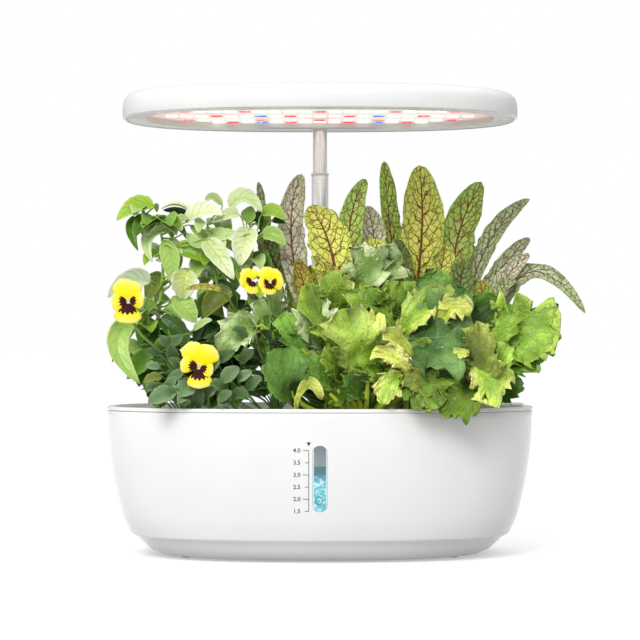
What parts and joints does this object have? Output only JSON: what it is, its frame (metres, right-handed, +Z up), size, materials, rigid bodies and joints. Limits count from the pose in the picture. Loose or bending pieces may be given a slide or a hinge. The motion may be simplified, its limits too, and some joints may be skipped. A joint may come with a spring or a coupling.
{
  "type": "countertop hydroponic garden",
  "caption": "White oval water tub with a planting deck, net baskets, growing herbs and salad, and an LED light head on a telescopic post.",
  "frame": {"origin": "middle of the tub's base pad, where the garden stands on the table", "axes": "+X to the right along the tub, +Y to the back where the post stands, +Z up; the water window is at the front, on -Y"},
  "size_m": [0.4065, 0.2077, 0.3808],
  "materials": {
    "white_gloss": "gloss",
    "bezel_white": "satin",
    "clear_window": "gloss",
    "hose": "satin",
    "rubber": "matte",
    "steel": "satin",
    "black_plastic": "matte",
    "sponge": "matte",
    "led_board": "satin",
    "circuit_board": "satin",
    "basil_leaf": "satin",
    "pansy_leaf": "matte",
    "sorrel_leaf": "satin",
    "lettuce_leaf": "satin"
  },
  "bodies": {
    "tub": {"tub_shell": "white_gloss", "level_window": "clear_window", "window_seal": "rubber", "foot_1": "rubber", "foot_2": "rubber", "foot_3": "rubber", "foot_4": "rubber"},
    "deck": {"deck": "white_gloss", "fill_lid_pin": "steel", "post_socket": "white_gloss", "dc_inlet": "black_plastic", "lower_post": "steel", "post_collar": "white_gloss", "collar_rivet": "steel", "basket_1": "black_plastic", "basket_2": "black_plastic", "basket_3": "black_plastic", "basket_4": "black_plastic", "basket_5": "black_plastic", "basket_6": "black_plastic", "basket_7": "black_plastic", "basket_8": "black_plastic", "basket_9": "black_plastic", "basket_10": "black_plastic", "pansy_1": "pansy_leaf", "pansy_2": "pansy_leaf", "lettuce_1": "lettuce_leaf", "lettuce_2": "lettuce_leaf", "lettuce_3": "lettuce_leaf", "basil_1": "basil_leaf", "basil_2": "basil_leaf", "basil_3": "basil_leaf", "sorrel_1": "sorrel_leaf", "sorrel_2": "sorrel_leaf", "pump_housing": "black_plastic", "pump_cover": "black_plastic", "pump_filter": "sponge", "impeller_shaft": "steel", "pump_hose": "hose", "pump_lead": "rubber"},
    "fill_lid": {"fill_lid": "white_gloss"},
    "impeller": {"impeller": "white_gloss"},
    "light_head": {"upper_post": "steel", "lamp_top": "white_gloss", "lamp_bezel": "bezel_white", "led_board": "led_board", "control_board": "circuit_board", "bezel_screw_1": "steel", "bezel_screw_2": "steel", "bezel_screw_3": "steel", "bezel_screw_4": "steel", "bezel_screw_5": "steel", "bezel_screw_6": "steel"},
    "light_button": {"light_button": "white_gloss"},
    "pump_button": {"pump_button": "white_gloss"}
  },
  "joints": [
    {"name": "deck_lift", "type": "slide", "parent": "tub", "child": "deck", "axis": [0, 0, 1], "range_m": [0, 0.12]},
    {"name": "light_height", "type": "slide", "parent": "deck", "child": "light_head", "axis": [0, 0, 1], "range_m": [-0.025, 0.12]},
    {"name": "fill_lid_hinge", "type": "hinge", "parent": "deck", "child": "fill_lid", "pos_m": [0.146, 0.027, 0.121], "axis": [-1, 0, 0], "range_deg": [0, 95]},
    {"name": "impeller_spin", "type": "hinge", "parent": "deck", "child": "impeller", "pos_m": [-0.035, 0.046, 0.038], "axis": [0, 1, 0], "continuous": true},
    {"name": "light_button_press", "type": "slide", "parent": "light_head", "child": "light_button", "axis": [0, 0, -1], "range_m": [0, 0.001], "stiffness_N_per_m": 1500},
    {"name": "pump_button_press", "type": "slide", "parent": "light_head", "child": "pump_button", "axis": [0, 0, -1], "range_m": [0, 0.001], "stiffness_N_per_m": 1500}
  ]
}
